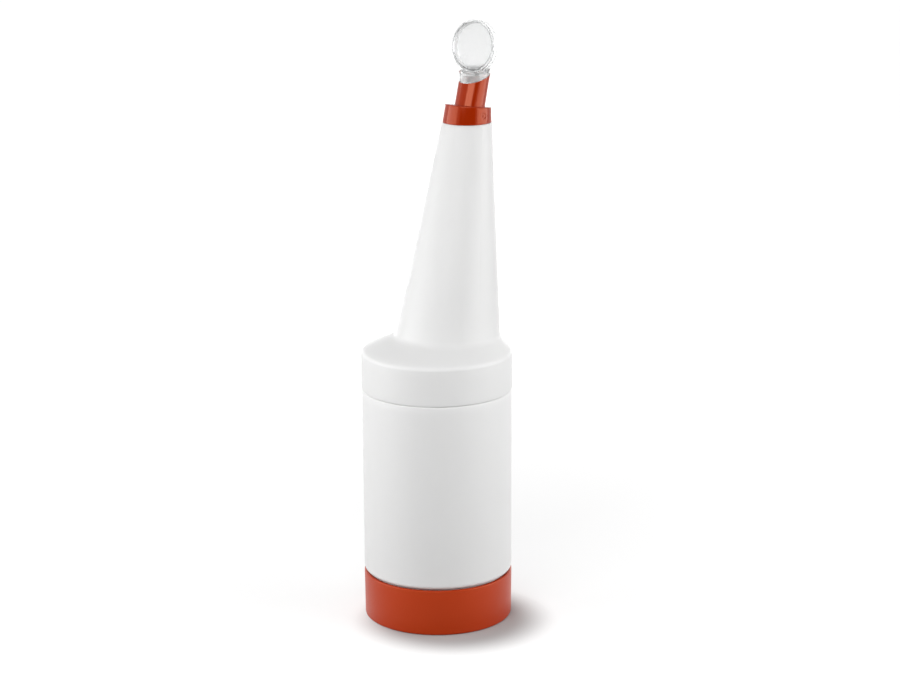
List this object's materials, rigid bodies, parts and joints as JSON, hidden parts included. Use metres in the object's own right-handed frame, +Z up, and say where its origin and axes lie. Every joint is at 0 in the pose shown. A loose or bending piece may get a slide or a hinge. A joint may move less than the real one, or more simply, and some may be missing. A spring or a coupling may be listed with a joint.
{
  "type": "pour spout bottle",
  "caption": "Wide-mouth plastic jar with a screw-on leaning neck, a bevelled pour spout with a clear gravity flap, and a storage lid kept under its foot.",
  "frame": {"origin": "middle of the base cap's underside, on the axis of the jar", "axes": "+Z up; the mouth faces -Y and the neck leans towards +Y; X is across, and the bottle is the same on both sides of X = 0"},
  "size_m": [0.0896, 0.0934, 0.356],
  "materials": {
    "red_cap": "smooth satin polypropylene",
    "white_jar": "satin milky polyethylene",
    "white_neck": "satin milky polyethylene",
    "red_pourer": "glossy polypropylene",
    "clear_flap": "clear styrene with a frosted disc"
  },
  "bodies": {
    "base_cap": {"base_cap": "red_cap"},
    "jar": {"jar": "white_jar"},
    "neck": {"neck": "white_neck"},
    "pourer": {"pourer": "red_pourer"},
    "flap": {"flap": "clear_flap"}
  },
  "joints": [
    {"name": "jar_lift", "type": "slide", "parent": "base_cap", "child": "jar", "axis": [0, 0, 1], "range_m": [0, 0.032]},
    {"name": "neck_lift", "type": "slide", "parent": "jar", "child": "neck", "axis": [0, 0, 1], "range_m": [0, 0.026]},
    {"name": "pourer_lift", "type": "slide", "parent": "neck", "child": "pourer", "axis": [0, 0, 1], "range_m": [0, 0.008]},
    {"name": "flap_hinge", "type": "hinge", "parent": "pourer", "child": "flap", "pos_m": [0, 0.04693, 0.32464], "axis": [-1, 0, 0], "range_deg": [0, 110]}
  ]
}
